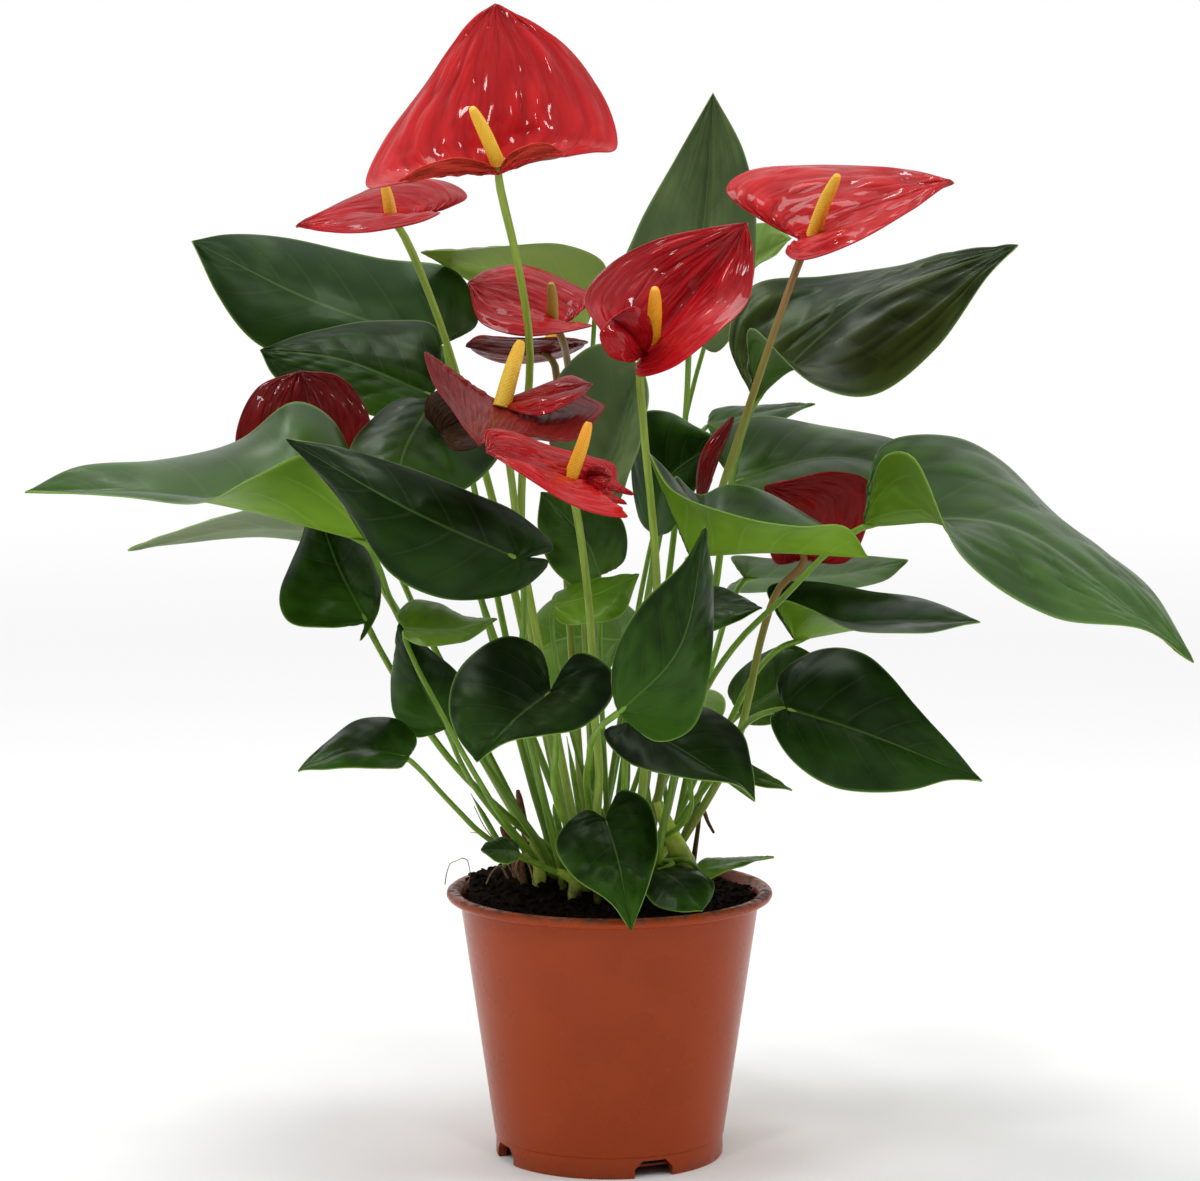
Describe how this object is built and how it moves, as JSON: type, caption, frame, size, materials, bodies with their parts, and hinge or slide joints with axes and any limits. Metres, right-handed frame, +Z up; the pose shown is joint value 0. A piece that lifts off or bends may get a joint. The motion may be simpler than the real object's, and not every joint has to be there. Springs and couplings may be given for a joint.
{
  "type": "potted anthurium",
  "caption": "Flowering anthurium in a round plastic nursery pot: glossy heart-shaped bracts with upright spadices over arching heart-shaped leaves.",
  "frame": {"origin": "on the ground under the middle of the whole plant's outline, which is within 2 mm of the pot's axis", "axes": "+Z up, +X to the right and -Y towards the viewer of the pictured front"},
  "size_m": [0.4169, 0.2654, 0.4224],
  "materials": {
    "pot": "satin injection-moulded plastic, terracotta brown",
    "soil": "moist crumbly peat with fibres, matte",
    "spathe": "waxy high gloss, blistered along the veins",
    "spathe_dark": "waxy gloss, dark crimson of an old or turned flower",
    "spadix": "satin, beaded with small florets",
    "stalk": "smooth satin, fresh green",
    "stalk_brown": "smooth satin, green flushed with brown",
    "leaf": "semi-gloss, dark green with sunken veins, paler below",
    "leaf_light": "semi-gloss, bright green young leaf"
  },
  "bodies": {
    "root": {"pot": "pot", "soil": "soil", "spathe_top": "spathe", "spadix_top": "spadix", "stalk_top": "stalk", "spathe_far_left": "spathe", "spadix_far_left": "spadix", "stalk_far_left": "stalk", "spathe_top_right": "spathe", "spadix_top_right": "spadix", "stalk_top_right": "stalk_brown", "spathe_centre_cup": "spathe", "spadix_centre_cup": "spadix", "stalk_centre_cup": "stalk", "spathe_back": "spathe", "spadix_back": "spadix", "stalk_back": "stalk_brown", "spathe_underside": "spathe", "spadix_underside": "spadix", "stalk_underside": "stalk_brown", "spathe_old_dark": "spathe_dark", "spadix_old_dark": "spadix", "stalk_old_dark": "stalk", "spathe_front": "spathe", "spadix_front": "spadix", "stalk_front": "stalk", "spathe_hidden_left": "spathe_dark", "spadix_hidden_left": "spadix", "stalk_hidden_left": "stalk", "spathe_turned_away": "spathe", "spadix_turned_away": "spadix", "stalk_turned_away": "stalk_brown", "spathe_bud": "spathe_dark", "stalk_bud": "stalk", "leaf_upper_left": "leaf", "leaf_under_upper_left": "leaf", "leaf_far_left": "leaf", "leaf_pale_left": "leaf", "leaf_front_left": "leaf", "leaf_hanging_left": "leaf", "leaf_middle_left": "leaf", "leaf_centre_heart": "leaf", "leaf_upright_front": "leaf", "leaf_under_upright": "leaf", "leaf_front_bottom": "leaf", "leaf_lower_right": "leaf", "leaf_far_right": "leaf", "leaf_upper_right": "leaf", "leaf_top_back": "leaf", "leaf_folded_right": "leaf", "leaf_background_right": "leaf", "leaf_pointed_right": "leaf", "leaf_grey_right": "leaf", "leaf_dark_centre": "leaf", "leaf_shoot_low_right": "leaf_light", "leaf_shoot_behind": "leaf_light", "leaf_shoot_left": "leaf", "leaf_shoot_back": "leaf_light", "leaf_shoot_centre": "leaf", "leaf_tiny_lower_left": "leaf"}
  },
  "joints": []
}
